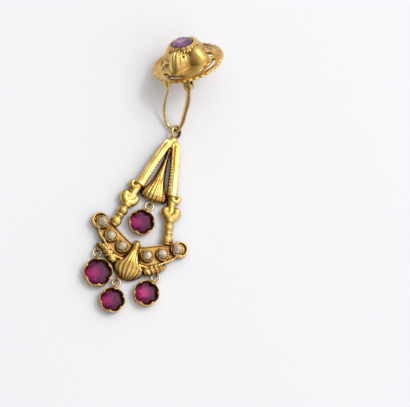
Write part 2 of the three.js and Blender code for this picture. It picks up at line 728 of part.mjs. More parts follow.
let pearlNumber = 0;
for (const side of [-1, 1])
  for (const place of PEARL_PLACES) {
    pearlNumber += 1;
    const pearl = mesh("pearl_" + pearlNumber, new THREE.SphereGeometry(PEARL_R, 12, 7), PEARL);
    pearl.rotation.x = Math.PI / 2;
    const [x, y] = pearlPlace(side, place);
    pearl.position.set(x, y, TRAY_HEIGHT + PEARL_R + 0.06);
    earring.add(pearl);
  }

// The rosette leans with its rim on the surface, and its wire's bend runs through the eye.
const rosetteSpin = new THREE.Group();
rosetteSpin.rotation.z = SPIN;
const rosetteLean = new THREE.Group();
rosetteLean.rotation.x = -LEAN;
const rosetteHeading = new THREE.Group();
rosetteHeading.rotation.z = HEADING;
rosetteHeading.add(rosetteLean);
rosetteLean.add(rosetteSpin);
const stoneR = ROSETTE_BEZEL_R - BEZEL_WALL - STONE_GAP - 0.06;
const rosetteStone = mesh("rosette_stone", cutStone(stoneR, 0.75, 0.7).scale(1, OVAL, 1), PALE_GARNET);
rosetteStone.position.z = DOME_HEIGHT + 0.92;
rosetteSpin.add(mesh("rosette", rosette(), GOLD), rosetteStone, mesh("ear_wire", earWire(), GOLD));
rosetteHeading.updateMatrixWorld(true);
const bendPlace = loopPoint(-LOOP_SKEW, -LOOP_LENGTH).applyMatrix4(rosetteSpin.matrixWorld);
const BEND_OFF = 0.28; // the bend rests against the eye's upper side
rosetteHeading.position.set(
  -bendPlace.x,
  EYE_Y + BEND_OFF - bendPlace.y,
  RIM_R * Math.sin(LEAN) - RIM_SIT,
);
earring.add(rosetteHeading);

export default earring;
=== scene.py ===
"""A gold drop earring with garnets and seed pearls, lying on its back.

Shapes are made in millimetres and scaled to metres when they are finished.
"""
import math

import bmesh
import bpy
import numpy as np
from mathutils import Matrix, Vector


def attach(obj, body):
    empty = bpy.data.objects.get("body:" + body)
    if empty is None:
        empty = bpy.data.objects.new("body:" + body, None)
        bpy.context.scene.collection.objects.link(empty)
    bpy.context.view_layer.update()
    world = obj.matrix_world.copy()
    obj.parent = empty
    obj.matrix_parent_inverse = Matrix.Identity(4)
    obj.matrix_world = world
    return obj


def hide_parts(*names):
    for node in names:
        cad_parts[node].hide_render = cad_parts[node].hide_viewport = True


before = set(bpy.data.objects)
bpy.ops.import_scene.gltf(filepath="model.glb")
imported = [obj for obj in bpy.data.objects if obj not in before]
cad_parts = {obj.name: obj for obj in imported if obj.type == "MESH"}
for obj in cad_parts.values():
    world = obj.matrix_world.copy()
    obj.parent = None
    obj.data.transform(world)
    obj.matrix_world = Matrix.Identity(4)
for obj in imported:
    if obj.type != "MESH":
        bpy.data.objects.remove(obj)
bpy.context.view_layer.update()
MM = 0.001
TAU = 2 * math.pi

# The pendant's frame, millimetres from the origin on the shield's back
EYE_Y = 29.7
EYE_R = 1.22
EYE_WIRE = 0.3
EYE_Z = 1.15
EYE_TURN = 0.7
AXIS_Z = 1.2
ARM_SHARE = 0.379
ARM_SPREAD = 3.7
ARM_TOP = 2.75
ARM_THICK = 1.15
LEAF_TOP = 4.4
LEAF_WIDTH = 5.8
LEAF_HEIGHT = 2.5
SCROLL_R = 0.92
POST_BEAD = 1.24
SCROLL_FOOT = 4.5
WING_REACH = 8.9
WING_RISE = 7.6
WING_DROP = 6.1
TIP_R = 1.7
TRAY_HEIGHT = 1.4
TRAY_LIP = 0.55
SHIELD_LENGTH = 9.2
SHIELD_WIDTH = 6.8
SHIELD_HEIGHT = 2.75
SHIELD_BELOW = 5.0
PEARL_R = 1.0
COLLET_WALL = 0.26
PEARL_GAP = 0.1
COLLET_HEIGHT = 0.95
PEARL_LIFT = 0.06
CLAW_R = 0.27
GRAIN_R = 0.19
FLUTES = 7  # on the leaf and on the shield
BACK_Z = -0.3  # shapes reach below the flat back and are cut there
CORE_R = 0.02  # inner radius of a turned solid, just off its axis

# Jump rings, cups and stones
RING_R = 0.85
RING_WIRE = 0.19
BAIL_R = 0.5
BAIL_WIRE = 0.18
BAIL_OUT = 0.34
LINK_Z = 0.72
CUP_HEIGHT = 1.9
CUP_WALL = 0.26
CUP_LEDGE = 0.2
SCALLOPS = 6
CENTRE_R = 2.85
KNOB_GAP = 1.15
LINK_GAP = 0.15
LUG_DROP = 0.3
GIRDLE_Z = 1.25
CROWN_HEIGHT = 0.85
PAVILION_HEIGHT = 1.1
STONE_PLAY = 0.04

# Rosette and ear wire, in the rosette's own frame
RIM_R = 7.7
RIM_IN = 5.9
RIM_THICK = 0.65
DOME_R = 5.5
DOME_HEIGHT = 4.5
FOOT_DIP = 1.7
CROWN_R = 2.15
SHELL_WALL = 0.55
SEAT_R = 2.75
SEAT_HEIGHT = 1.0
OVAL = 0.84
TOP_GIRDLE = 0.92
TOP_CROWN = 0.75
TOP_PAVILION = 0.7
TOP_PLAY = 0.12
PETAL_TURN = -0.19
LEAN = math.radians(48.95)
HEADING = math.radians(48.2)
SPIN = math.radians(-52.2)
RIM_SIT = 0.1
LEG_GAP = 5.0
LOOP_LENGTH = 9.9
LOOP_SKEW = 2.1
LEG_Y = -6.35
HINGE_DROP = 1.55
LEG_SLOPE = 0.252
KNUCKLE_R = 0.85
KNUCKLE_HALF = 0.36
PIN_R = 0.36
PIN_GAP = 0.13
FORK_WALL = 0.36
FORK_GAP = 0.12
CATCH_UP = 0.15
CATCH_BORE = 0.54
CATCH_WALL = 0.26
RIM_BITE = 0.3
BEND_OFF = 0.28
PETALS = 4
RIM_BEADS = 34
FAN_TURN = 0.28  # how far the flutes' fans sit beside the petals' middles
LENS_HALF = 0.54  # half of a lens's angle at the rosette's middle
LENS_BULGE = 1.8
LIP_HALF = 0.46
ARCH_R = 0.82
ARCH_LONG = 1.35
ARCH_OUT = 4.75
PIN_HOLE_R = 0.2
PIN_HOLE_OUT = 3.0
PIN_HOLE_TURN = 0.2

# Places that follow from these sizes
SHIELD_TOP_Y = SHIELD_LENGTH - SHIELD_BELOW
CENTRE_HANG = LUG_DROP + 2 * RING_R + BAIL_OUT + 2 * CENTRE_R
LEAF_LENGTH = EYE_Y - LEAF_TOP - CENTRE_HANG - KNOB_GAP - SHIELD_TOP_Y
WING_MIDDLE_Y = SHIELD_TOP_Y - WING_DROP
ARM_END = ARM_TOP + ARM_SHARE * EYE_Y


def vec(x, y, z=0.0):
    return np.array([x, y, z], float)


def unit(v):
    return v / np.linalg.norm(v)


def skin(rings, endless=False):
    """Closed surface over rings of equal count: vertices and faces that point out."""
    rings = np.asarray(rings, float)
    count, around = rings.shape[:2]
    verts = rings.reshape(-1, 3)
    faces = []
    for i in range(count if endless else count - 1):
        n = (i + 1) % count
        for j in range(around):
            k = (j + 1) % around
            faces.append((i * around + j, i * around + k, n * around + k, n * around + j))
    if not endless:
        last = (count - 1) * around
        for start, middle, flip in ((0, rings[0].mean(0), False), (last, rings[-1].mean(0), True)):
            verts = np.vstack([verts, middle])
            tip = len(verts) - 1
            for j in range(around):
                a, b = start + j, start + (j + 1) % around
                faces.append((tip, a, b) if flip else (tip, b, a))
    volume = 0.0
    for f in faces:
        for m in range(1, len(f) - 1):
            volume += np.dot(verts[f[0]], np.cross(verts[f[m]], verts[f[m + 1]]))
    if volume < 0:
        faces = [tuple(reversed(f)) for f in faces]
    return verts, faces


def moved(shell, matrix):
    verts, faces = shell
    m = np.array(matrix)
    verts = verts @ m[:3, :3].T + m[:3, 3]
    return verts, faces


def at(x=0.0, y=0.0, z=0.0, rx=0.0, ry=0.0, rz=0.0):
    """Turned about X, then Y, then Z, and then moved."""
    turn = Matrix.Rotation(rz, 4, "Z") @ Matrix.Rotation(ry, 4, "Y") @ Matrix.Rotation(rx, 4, "X")
    return Matrix.Translation((x, y, z)) @ turn


def smooth_path(points, share):
    """Point on a centripetal Catmull-Rom curve."""
    points = [np.asarray(p, float) for p in points]
    place = share * (len(points) - 1)
    i = min(int(place), len(points) - 2)
    t = place - i
    p1, p2 = points[i], points[i + 1]
    p0 = points[i - 1] if i else 2 * points[0] - points[1]
    p3 = points[i + 2] if i + 2 < len(points) else 2 * points[-1] - points[-2]
    d0 = max(np.linalg.norm(p1 - p0) ** 0.5, 1e-4)
    d1 = max(np.linalg.norm(p2 - p1) ** 0.5, 1e-4)
    d2 = max(np.linalg.norm(p3 - p2) ** 0.5, 1e-4)
    t1 = ((p1 - p0) / d0 - (p2 - p0) / (d0 + d1) + (p2 - p1) / d1) * d1
    t2 = ((p2 - p1) / d1 - (p3 - p1) / (d1 + d2) + (p3 - p2) / d2) * d1
    return p1 + t1 * t + (3 * (p2 - p1) - 2 * t1 - t2) * t**2 + (2 * (p1 - p2) + t1 + t2) * t**3


def along(table, share):
    """Value at a share of the way, from rows of share and value."""
    return float(np.interp(share, [row[0] for row in table], [row[1] for row in table]))


def bar(points, wide, high, steps=60, sides=24, up=(0, 0, 1), ripple=None, power=1.0):
    """Bar along smooth points. Power under 1 makes its section squarer; ripple works on the radius."""
    rings = []
    for i in range(steps + 1):
        share = i / steps
        centre = smooth_path(points, share)
        before, after = max(share - 0.004, 0), min(share + 0.004, 1)
        ahead = unit(smooth_path(points, after) - smooth_path(points, before))
        side = unit(np.cross(ahead, up))
        over = np.cross(side, ahead)
        w, h = along(wide, share), along(high, share)
        ring = []
        for j in range(sides):
            a = TAU * (j + 0.5) / sides
            c, s = math.cos(a), math.sin(a)
            c, s = math.copysign(abs(c) ** power, c), math.copysign(abs(s) ** power, s)
            k = ripple(share, a) if ripple else 1.0
            ring.append(centre + side * w * c * k + over * h * s * k)
        rings.append(ring)
    return skin(rings)


def polar(profile_at, segments):
    """Closed ring round Z, whose section may change with the angle."""
    rings = []
    for i in range(segments):
        a = TAU * i / segments
        rings.append([(r * math.cos(a), r * math.sin(a), h) for r, h in profile_at(a)])
    return skin(rings, endless=True)


def lathe(profile, segments=32):
    """Solid of revolution round Z from [[radius, height], ...] whose ends are capped."""
    rings = []
    angles = [TAU * i / segments for i in range(segments)]
    for r, h in profile:
        rings.append([(r * math.cos(a), r * math.sin(a), h) for a in angles])
    return skin(rings)


def drum(radius, half, segments=32):
    """Solid cylinder on Z with its middle at the origin."""
    return lathe([(CORE_R, -half), (radius, -half), (radius, half), (CORE_R, half)], segments)


def ball(x, y, z, radius, flat=1.0, segments=12):
    angles = [math.pi * k / 8 for k in range(1, 8)]
    profile = [(math.sin(a) * radius, -math.cos(a) * radius * flat) for a in angles]
    return moved(lathe(profile, segments), at(x, y, z))


def torus(radius, wire, segments=40, sides=14):
    angles = [TAU * j / sides for j in range(sides)]
    section = [(radius + wire * math.cos(a), wire * math.sin(a)) for a in angles]
    return polar(lambda a: section, segments)


def standing_ring(x, y, turn):
    return moved(torus(BAIL_R, BAIL_WIRE), at(x, y, LINK_Z, math.pi / 2, 0, turn + math.pi / 2))


def joined(shells):
    verts, faces, base = [], [], 0
    for v, f in shells:
        verts.append(v)
        faces += [tuple(i + base for i in face) for face in f]
        base += len(v)
    return np.vstack(verts), faces


def in_scene(name, data):
    obj = bpy.data.objects.new(name, data)
    bpy.context.scene.collection.objects.link(obj)
    return obj


def new_object(name, shell):
    verts, faces = shell
    mesh = bpy.data.meshes.new(name)
    mesh.from_pydata(verts.tolist(), [], faces)
    mesh.update()
    return in_scene(name, mesh)


def remove(obj):
    mesh = obj.data
    bpy.data.objects.remove(obj)
    bpy.data.meshes.remove(mesh)


def add_shells(obj, shells):
    more = new_object(obj.name + "_more", joined(shells))
    bm = bmesh.new()
    bm.from_mesh(obj.data)
    bm.from_mesh(more.data)
    bm.to_mesh(obj.data)
    bm.free()
    remove(more)


def apply_modifiers(obj):
    graph = bpy.context.evaluated_depsgraph_get()
    mesh = bpy.data.meshes.new_from_object(obj.evaluated_get(graph))
    obj.modifiers.clear()
    old = obj.data
    obj.data = mesh
    bpy.data.meshes.remove(old)


def cut(obj, cutter_shells, solver="EXACT"):
    cutter = new_object(obj.name + "_cutter", joined(cutter_shells))
    step = obj.modifiers.new("cut", "BOOLEAN")
    step.operation = "DIFFERENCE"
    step.solver = solver
    step.object = cutter
    apply_modifiers(obj)
    remove(cutter)


def fuse(obj, voxel, soften=2):
    """One skin over all shells, as solder and casting leave it."""
    step = obj.modifiers.new("fuse", "REMESH")
    step.mode = "VOXEL"
    step.voxel_size = voxel
    step.use_smooth_shade = True
    relax = obj.modifiers.new("soften", "SMOOTH")
    relax.factor = 0.5
    relax.iterations = soften
    apply_modifiers(obj)


def drop_crumbs(obj):
    """Keep only the largest connected piece."""
    bm = bmesh.new()
    bm.from_mesh(obj.data)
    left = set(bm.verts)
    groups = []
    while left:
        seed = left.pop()
        group, stack = {seed}, [seed]
        while stack:
            for edge in stack.pop().link_edges:
                for v in edge.verts:
                    if v in left:
                        left.discard(v)
                        group.add(v)
                        stack.append(v)
        groups.append(group)
    groups.sort(key=len)
    for group in groups[:-1]:
        bmesh.ops.delete(bm, geom=list(group), context="VERTS")
    bm.to_mesh(obj.data)
    bm.free()


def finish_piece(obj, material, body, node, smooth=True, matrix=None):
    """Scale to metres, place, shade, give the material, hang the piece on the body it rides on and hide the
    CAD part it stands for.
    """
    obj.data.transform(matrix or Matrix.Identity(4))
    obj.data.transform(Matrix.Scale(MM, 4))
    obj.data.polygons.foreach_set("use_smooth", [smooth] * len(obj.data.polygons))
    obj.data.update()
    obj.data.materials.clear()
    obj.data.materials.append(material)
    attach(obj, body)
    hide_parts(node)


# Materials
def shader(name):
    material = bpy.data.materials.new(name)
    material.use_nodes = True
    nodes = material.node_tree.nodes
    return material, nodes, material.node_tree.links, nodes["Principled BSDF"]


def ramp(nodes, stops):
    node = nodes.new("ShaderNodeValToRGB")
    while len(node.color_ramp.elements) < len(stops):
        node.color_ramp.elements.new(0.5)
    for element, (place, color) in zip(node.color_ramp.elements, stops):
        element.position = place
        element.color = (*color, 1)
    return node


def gold(name, bright, deep, recess_shade, rough, grain, low=None, reach=0.0012):
    """Old gold: bright where it is rubbed, ochre where it isn't, with painted shade in brown in the
    recesses.

    low gives two heights in millimetres, between which the painted shade of the low places fades out,
    and the share of brightness that it leaves. reach is how far the hollows' painted shade is felt, in
    metres.
    """
    material, nodes, links, bsdf = shader(name)
    place = nodes.new("ShaderNodeTexCoord")
    patches = nodes.new("ShaderNodeTexNoise")
    patches.inputs["Scale"].default_value = 420
    patches.inputs["Detail"].default_value = 5
    links.new(place.outputs["Object"], patches.inputs["Vector"])
    tone = ramp(nodes, [(0.3, deep), (0.62, bright)])
    links.new(patches.outputs["Fac"], tone.inputs["Fac"])
    # Painted shade: the hollows that ambient occlusion finds take the recess colour
    shade_in_hollows = nodes.new("ShaderNodeAmbientOcclusion")
    shade_in_hollows.inputs["Distance"].default_value = reach
    shade_in_hollows.samples = 6
    shade = ramp(nodes, [(0.3, (0, 0, 0)), (0.92, (1, 1, 1))])
    if low:
        # Painted shade also lies on the floor of the tray and on the low flanks
        split = nodes.new("ShaderNodeSeparateXYZ")
        links.new(place.outputs["Object"], split.inputs["Vector"])
        height = nodes.new("ShaderNodeMapRange")
        height.inputs["From Min"].default_value = low[0] * MM
        height.inputs["From Max"].default_value = low[1] * MM
        height.inputs["To Min"].default_value = low[2]
        links.new(split.outputs["Z"], height.inputs["Value"])
        both = nodes.new("ShaderNodeMath")
        both.operation = "MULTIPLY"
        links.new(shade_in_hollows.outputs["AO"], both.inputs[0])
        links.new(height.outputs["Result"], both.inputs[1])
        links.new(both.outputs["Value"], shade.inputs["Fac"])
    else:
        links.new(shade_in_hollows.outputs["AO"], shade.inputs["Fac"])
    mix = nodes.new("ShaderNodeMix")
    mix.data_type = "RGBA"
    mix.inputs["A"].default_value = (*recess_shade, 1)
    links.new(shade.outputs["Color"], mix.inputs["Factor"])
    links.new(tone.outputs["Color"], mix.inputs["B"])
    links.new(mix.outputs["Result"], bsdf.inputs["Base Color"])
    bsdf.inputs["Metallic"].default_value = 1.0
    fine = nodes.new("ShaderNodeTexNoise")
    fine.inputs["Scale"].default_value = grain
    fine.inputs["Detail"].default_value = 6
    links.new(place.outputs["Object"], fine.inputs["Vector"])
    spread = nodes.new("ShaderNodeMapRange")
    spread.inputs["To Min"].default_value = rough - 0.08
    spread.inputs["To Max"].default_value = rough + 0.14
    links.new(fine.outputs["Fac"], spread.inputs["Value"])
    links.new(spread.outputs["Result"], bsdf.inputs["Roughness"])
    bump = nodes.new("ShaderNodeBump")
    bump.inputs["Strength"].default_value = 0.5
    bump.inputs["Distance"].default_value = 0.00006
    links.new(fine.outputs["Fac"], bump.inputs["Height"])
    links.new(bump.outputs["Normal"], bsdf.inputs["Normal"])
    return material


def gem(name, light, middle, dark, transmission):
    """Painted light: each facet has its own painted lit or shaded tone, and painted shade darkens the stone
    towards its edge.
    """
    material, nodes, links, bsdf = shader(name)
    facet = nodes.new("ShaderNodeAttribute")
    facet.attribute_name = "facet_tone_and_painted_light"
    # A painted bright patch inside the stone, left of its middle, with painted shade away from it, lies
    # over the facets' painted tones
    place = nodes.new("ShaderNodeTexCoord")
    from_painted_light = nodes.new("ShaderNodeVectorMath")
    from_painted_light.operation = "DISTANCE"
    from_painted_light.inputs[1].default_value = (0.34, 0.42, 0.8)
    links.new(place.outputs["Generated"], from_painted_light.inputs[0])
    inside = nodes.new("ShaderNodeMapRange")
    inside.inputs["From Max"].default_value = 0.62
    inside.inputs["To Min"].default_value = 1.35
    inside.inputs["To Max"].default_value = 0.3
    links.new(from_painted_light.outputs["Value"], inside.inputs["Value"])
    painted_light_tone = nodes.new("ShaderNodeMath")
    painted_light_tone.operation = "MULTIPLY"
    links.new(facet.outputs["Fac"], painted_light_tone.inputs[0])
    links.new(inside.outputs["Result"], painted_light_tone.inputs[1])
    tone = ramp(nodes, [(0.0, dark), (0.5, middle), (1.0, light)])
    links.new(painted_light_tone.outputs["Value"], tone.inputs["Fac"])
    links.new(tone.outputs["Color"], bsdf.inputs["Base Color"])
    bsdf.inputs["Roughness"].default_value = 0.02
    bsdf.inputs["IOR"].default_value = 1.74
    bsdf.inputs["Specular IOR Level"].default_value = 0.22
    bsdf.inputs["Transmission Weight"].default_value = transmission
    return material


def pearl_finish():
    """Clouded cream under a clear coat."""
    material, nodes, links, bsdf = shader("pearl")
    place = nodes.new("ShaderNodeTexCoord")
    cloud = nodes.new("ShaderNodeTexNoise")
    cloud.inputs["Scale"].default_value = 700
    cloud.inputs["Detail"].default_value = 3
    links.new(place.outputs["Object"], cloud.inputs["Vector"])
    tone = ramp(nodes, [(0.35, (0.36, 0.25, 0.12)), (0.62, (0.74, 0.62, 0.46))])
    links.new(cloud.outputs["Fac"], tone.inputs["Fac"])
    links.new(tone.outputs["Color"], bsdf.inputs["Base Color"])
    bsdf.inputs["Roughness"].default_value = 0.13
    bsdf.inputs["Coat Weight"].default_value = 1.0
    bsdf.inputs["Coat Roughness"].default_value = 0.05
    bsdf.inputs["Specular IOR Level"].default_value = 0.6
    return material


# The third colour of each gold is the painted shade of its recesses
GOLD = gold(
    "old_gold", (0.84, 0.58, 0.19), (0.58, 0.3, 0.06), (0.11, 0.03, 0.005), 0.27, 2600, reach=0.0024,
)
FRAME_GOLD = gold(
    "frame_gold", (0.87, 0.61, 0.2), (0.62, 0.34, 0.068), (0.13, 0.038, 0.006), 0.27, 2400,
    # Painted shade on the tray's floor and the frame's low flanks
    low=(0.7, 1.9, 0.25),
)
WIRE_GOLD = gold("wire_gold", (0.88, 0.65, 0.3), (0.66, 0.42, 0.15), (0.16, 0.06, 0.02), 0.24, 3400)
# Each gem's first colour is its painted light, its last the painted shade of its edges and dark facets
GARNET = gem("garnet", (0.85, 0.05, 0.3), (0.19, 0.004, 0.085), (0.022, 0.001, 0.012), 0.15)
PALE_GARNET = gem("pale_garnet", (0.7, 0.42, 0.62), (0.42, 0.18, 0.36), (0.14, 0.04, 0.13), 0.3)
PEARL = pearl_finish()


# The pendant's frame
def eye_y(down):
    """Y of a place below the eye."""
    return EYE_Y - down


def on_wing(reach, rise, side=1):
    return side * reach * WING_REACH, WING_MIDDLE_Y + rise * WING_RISE


POST_TOP = vec(ARM_SPREAD + 1.05, eye_y(ARM_END + SCROLL_FOOT))
POST_FOOT = vec(*on_wing(0.68, 0.96))
POST_LENGTH = float(np.linalg.norm(POST_FOOT - POST_TOP))
POST_LEAN = math.atan2(POST_FOOT[0] - POST_TOP[0], POST_TOP[1] - POST_FOOT[1])


def plume(length, width, height, rows, depth, uneven=0.0, fade=0.0):
    """Domed fluted plume on a flat back, its rows running down from y = 0.

    A row holds its place down the length, its half width, its height and its dip, all as shares.
    uneven deepens the folds on the right, fade smooths them out towards the foot.
    """
    table = np.array(rows, float)
    columns = FLUTES * 10
    row_steps = 90
    rings = []
    for i in range(row_steps + 1):
        fold = depth * (1 - fade * (i / row_steps) ** 4)
        down = table[0, 0] + (table[-1, 0] - table[0, 0]) * i / row_steps
        half, rise, dip = (np.interp(down, table[:, 0], table[:, c]) for c in (1, 2, 3))
        ring = []
        for j in range(columns + 1):
            across = 2 * j / columns - 1
            crest = abs(math.sin(math.pi * FLUTES * (across + 1) / 2))
            dome = math.sqrt(max(1 - 0.8 * across * across, 0))
            y = -down * length - dip * length * (1 - across * across) - 0.5 * dip * length * crest
            z = rise * height * dome - fold * (1 + uneven * across) * (1 - crest**0.7) * min(1, half * 2)
            ring.append((across * half * width / 2, y, max(z, 0.2)))
        ring.append((half * width / 2, -down * length, BACK_Z))
        ring.append((-half * width / 2, -down * length, BACK_Z))
        rings.append(ring)
    return skin(rings)


LEAF_ROWS = [
    (0.0, 0.1, 0.45, 0), (0.12, 0.14, 0.6, 0), (0.3, 0.24, 0.75, 0), (0.45, 0.34, 0.85, 0),
    (0.58, 0.46, 0.92, 0), (0.7, 0.63, 0.98, 0), (0.8, 0.84, 1.0, 0.005), (0.87, 1.0, 0.96, 0.02),
    (0.92, 1.0, 0.78, 0.04), (0.94, 0.94, 0.5, 0.05),
]
SHIELD_ROWS = [
    (0.0, 0.16, 0.5, 0), (0.04, 0.26, 0.8, 0), (0.11, 0.3, 1.0, 0), (0.19, 0.28, 0.95, 0),
    (0.28, 0.34, 0.9, 0), (0.42, 0.5, 0.95, 0), (0.55, 0.72, 0.98, 0), (0.64, 0.97, 0.92, 0),
    (0.72, 1.0, 0.8, 0.02), (0.81, 0.86, 0.66, 0.03), (0.88, 0.62, 0.5, 0.04), (0.92, 0.42, 0.32, 0.05),
]
# A wing's place along its reach, and its lower and upper edge as shares of its rise
WING_ROWS = [
    (0.0, 0.1, 0.62), (0.22, 0.1, 0.72), (0.42, 0.12, 0.84), (0.6, 0.26, 0.95), (0.78, 0.44, 1.06),
    (0.93, 0.6, 1.16), (1.0, 0.78, 1.2),
]
# Shares of a wing's reach and rise
PEARL_PLACES = [(0.315, 0.46), (0.65, 0.645), (0.935, 0.925)]
LEFT_LUG = (0.843, 0.191)
RIGHT_LUG = (0.702, 0.095)
LEFT_R = 3.1
BOTTOM_R = 2.75
RIGHT_R = 2.8
CENTRE_SWING = -7
LEFT_SWING = 20
BOTTOM_SWING = 5
RIGHT_SWING = -12
LEFT_HANG = 2 * RING_R + BAIL_OUT + LEFT_R
LEFT_EDGE = -LEFT_LUG[0] * WING_REACH + LEFT_HANG * math.sin(math.radians(LEFT_SWING)) + LEFT_R
# Each drop's name, its lug's place, its swing in degrees and its radius
DROPS = [
    ("centre", 0, eye_y(LEAF_TOP + LEAF_LENGTH + LUG_DROP), CENTRE_SWING, CENTRE_R),
    ("left", *on_wing(*LEFT_LUG, -1), LEFT_SWING, LEFT_R),
    ("bottom", LEFT_EDGE + LINK_GAP + RING_R + RING_WIRE, -SHIELD_BELOW - 0.05, BOTTOM_SWING, BOTTOM_R),
    ("right", *on_wing(*RIGHT_LUG), RIGHT_SWING, RIGHT_R),
]


def wing(side):
    """Half of the crescent tray with a lip along both edges, and its round tip."""
    table = np.array(WING_ROWS)
    top = TRAY_HEIGHT + TRAY_LIP
    rim = TRAY_HEIGHT + 0.22
    rings = []
    steps = 48
    for i in range(steps + 1):
        share = i / steps
        x, low = on_wing(share, np.interp(share, table[:, 0], table[:, 1]), side)
        x, high = on_wing(share, np.interp(share, table[:, 0], table[:, 2]), side)
        inner = low + TRAY_LIP
        rings.append([
            (x, low + 0.05, BACK_Z), (x, low - 0.12, 0.9), (x, low, top - 0.15), (x, low + 0.14, top),
            (x, inner - 0.14, top), (x, inner, top - 0.12), (x, inner + 0.05, TRAY_HEIGHT),
            (x, high - 0.35, TRAY_HEIGHT), (x, high - 0.3, rim), (x, high - 0.05, rim),
            (x, high + 0.05, 0.9), (x, high - 0.05, BACK_Z),
        ])
    tip = [
        (CORE_R, BACK_Z), (TIP_R - 0.05, BACK_Z), (TIP_R + 0.12, 0.9), (TIP_R + 0.05, top - 0.1),
        (TIP_R - 0.1, top), (TIP_R - 0.26, top), (TIP_R - 0.34, top - 0.1), (TIP_R - 0.38, TRAY_HEIGHT),
        (CORE_R, TRAY_HEIGHT),
    ]
    return [skin(rings), moved(lathe(tip, 40), at(*on_wing(1, 0.97, side)))]


def side_point(side, x, down, z=AXIS_Z):
    """Point of one side of the frame, by its distance from the axis and below the eye."""
    return vec(side * x, eye_y(down), z)


def arm(side):
    """Tapering arm with milled edges and a raised line along its middle."""
    route = [
        side_point(side, 0.55, ARM_TOP - 0.4), side_point(side, 1.0, ARM_TOP + 0.7),
        side_point(side, 2.1, ARM_TOP + 4.6), side_point(side, ARM_SPREAD, ARM_END),
    ]
    wide = [(0, 0.45), (0.2, 0.74), (0.7, 0.98), (1, 1.12)]
    high = [(0, 0.95), (0.5, ARM_THICK), (1, ARM_THICK + 0.15)]
    shells = [bar(route, wide, high, steps=80, sides=28, power=0.62)]
    grains = 24
    edge_share = 0.84
    for k in range(grains):
        share = 0.13 + 0.82 * k / grains
        centre = smooth_path(route, share)
        ahead = unit(smooth_path(route, share + 0.01) - smooth_path(route, share - 0.01))
        across = unit(np.cross(ahead, (0, 0, 1)))
        for edge in (-1, 1):
            spot = centre + across * edge * edge_share * along(wide, share)
            spot[2] = AXIS_Z + edge_share * along(high, share)
            shells.append(ball(*spot, GRAIN_R, 0.9, 8))
    middle = [point + vec(0, 0, 0.95 * ARM_THICK) for point in route[1:]]
    shells.append(bar(middle, [(0, 0.16), (1, 0.3)], [(0, 0.16), (1, 0.26)], steps=30, sides=10))
    return shells


def scrolls(side):
    """The curl at the arm's foot, the stem below it, and the open scroll with its ball."""
    def p(out, down, z=AXIS_Z):
        return side_point(side, ARM_SPREAD + out, ARM_END + down, z)

    curl = [p(-0.1, -1.0), p(0.35, 0.55), p(1.2, 0.75), p(1.6, -0.15), p(1.0, -0.45)]
    stem = [p(0.1, -0.4, 1.05), p(0.55, 2.0, 1.0), p(POST_TOP[0] - ARM_SPREAD, SCROLL_FOOT, 1.0)]
    scroll = [p(2.0, 2.7), p(2.0, 3.5), p(1.05, 4.4), p(-0.2, 3.7), p(-0.35, 3.0), p(0.1, 2.7)]
    scroll_wide = [
        (0, SCROLL_R * 0.8), (0.06, SCROLL_R * 1.1), (0.15, SCROLL_R * 1.25), (0.5, SCROLL_R),
        (0.8, SCROLL_R * 0.85), (1, 0.5),
    ]
    scroll_high = [(0, SCROLL_R * 0.8), (0.15, SCROLL_R * 1.3), (0.5, SCROLL_R * 1.05), (1, 0.6)]
    return [
        bar(curl, [(0, 0.85), (0.6, 0.62), (1, 0.4)], [(0, 1.1), (1, 0.8)], steps=40, sides=18),
        bar(stem, [(0, 1.0), (0.5, 0.95), (1, 0.95)], [(0, 1.05), (1, 1.0)], steps=24, sides=20),
        bar(scroll, scroll_wide, scroll_high, steps=60, sides=22),
        ball(*p(2.0, 2.75), SCROLL_R * 1.08, 1.05, 24),
    ]


def post(side):
    """Turned post of beads and rings, its section as shares of its length and its bead."""
    turning = [
        (0, 0.72), (0.08, 0.86), (0.14, 0.86), (0.18, 0.6), (0.25, 0.84), (0.34, 0.95), (0.43, 0.84),
        (0.5, 0.58), (0.53, 0.84), (0.59, 0.84), (0.62, 0.6), (0.7, 0.92), (0.79, 1.03), (0.88, 0.92),
        (0.96, 0.64), (1, 0.9),
    ]
    steps = 60
    places = [k / steps for k in range(steps + 1)]
    profile = [(CORE_R, 0)]
    profile += [(along(turning, s) * POST_BEAD, s * POST_LENGTH) for s in places]
    profile.append((CORE_R, POST_LENGTH))
    upright = moved(lathe(profile, 30), at(rx=-math.pi / 2))
    return moved(upright, at(side * POST_TOP[0], POST_TOP[1], AXIS_Z, rz=math.pi + side * POST_LEAN))


def side_scroll(side):
    """Gadrooned scroll below a wing, beside the shield."""
    ribs, twist, swell = 5.5, 0.3, 0.17

    def gadroons(share, angle):
        wave = math.cos(TAU * (share * ribs - twist * side * math.cos(angle)))
        return 1 + swell * wave * min(1, (1.02 - share) * 4)

    spots = [(0.835, 0.355, 1.0), (0.703, 0.276, 1.1), (0.55, 0.151, 1.1), (0.374, 0, 1.0)]
    route = [vec(*on_wing(reach, rise, side), z) for reach, rise, z in spots]
    return bar(
        route, [(0, 0.4), (0.15, 0.56), (0.35, 0.66), (0.55, 0.86), (0.84, 1.0), (1, 0.8)],
        [(0, 0.8), (0.3, 1.05), (0.84, 1.15), (1, 0.9)], steps=90, sides=22, ripple=gadroons,
    )


def side_work(side):
    return [*arm(side), *scrolls(side), post(side), side_scroll(side)]


def pearl_collet(x, y):
    """Low wall round a pearl."""
    bore = PEARL_R + PEARL_GAP
    wall = bore + COLLET_WALL
    top = TRAY_HEIGHT + COLLET_HEIGHT
    foot = TRAY_HEIGHT - 0.2
    profile = [
        (bore - 0.05, foot), (wall + 0.06, foot), (wall, top - 0.1), (wall - 0.1, top), (bore, top - 0.04),
    ]
    return moved(polar(lambda a: profile, 32), at(x, y))


